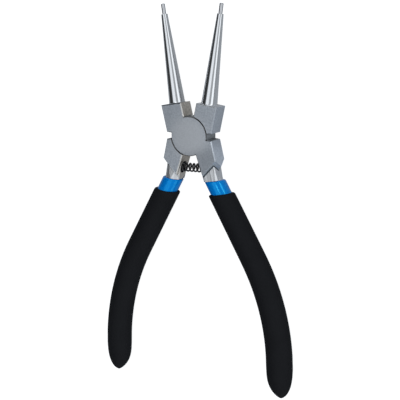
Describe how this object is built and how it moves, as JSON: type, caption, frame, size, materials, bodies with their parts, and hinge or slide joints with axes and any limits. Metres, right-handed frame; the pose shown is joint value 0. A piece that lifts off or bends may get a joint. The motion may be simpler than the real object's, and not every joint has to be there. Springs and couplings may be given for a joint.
{
  "type": "internal circlip pliers",
  "caption": "Internal circlip pliers with straight tapered jaws, fine tip pins, a lap joint opened by a coil spring, and bowed handles with dipped grips.",
  "frame": {"origin": "on the joint's axis, in the back face of the head", "axes": "+Y along the tool towards the tips, +Z through the thickness towards the front face, +X to the right across the handles"},
  "size_m": [0.1192, 0.2153, 0.0128],
  "materials": {
    "forged_steel": "satin, polished on jaws and necks",
    "tip_steel": "bright",
    "spring_steel": "black oxide",
    "blue_dip": "gloss",
    "black_dip": "matte"
  },
  "bodies": {
    "front_body": {"front_lever": "forged_steel", "pivot_rivet": "forged_steel", "front_tip": "tip_steel", "front_liner": "blue_dip", "front_grip": "black_dip", "return_spring": "spring_steel"},
    "rear_body": {"rear_lever": "forged_steel", "rear_tip": "tip_steel", "rear_liner": "blue_dip", "rear_grip": "black_dip"}
  },
  "joints": [
    {"name": "pivot", "type": "hinge", "parent": "front_body", "child": "rear_body", "pos_m": [0, 0, 0], "axis": [0, 0, 1], "range_deg": [-14, 26], "stiffness_Nm_per_rad": 2.5, "deforming": ["return_spring"]}
  ]
}
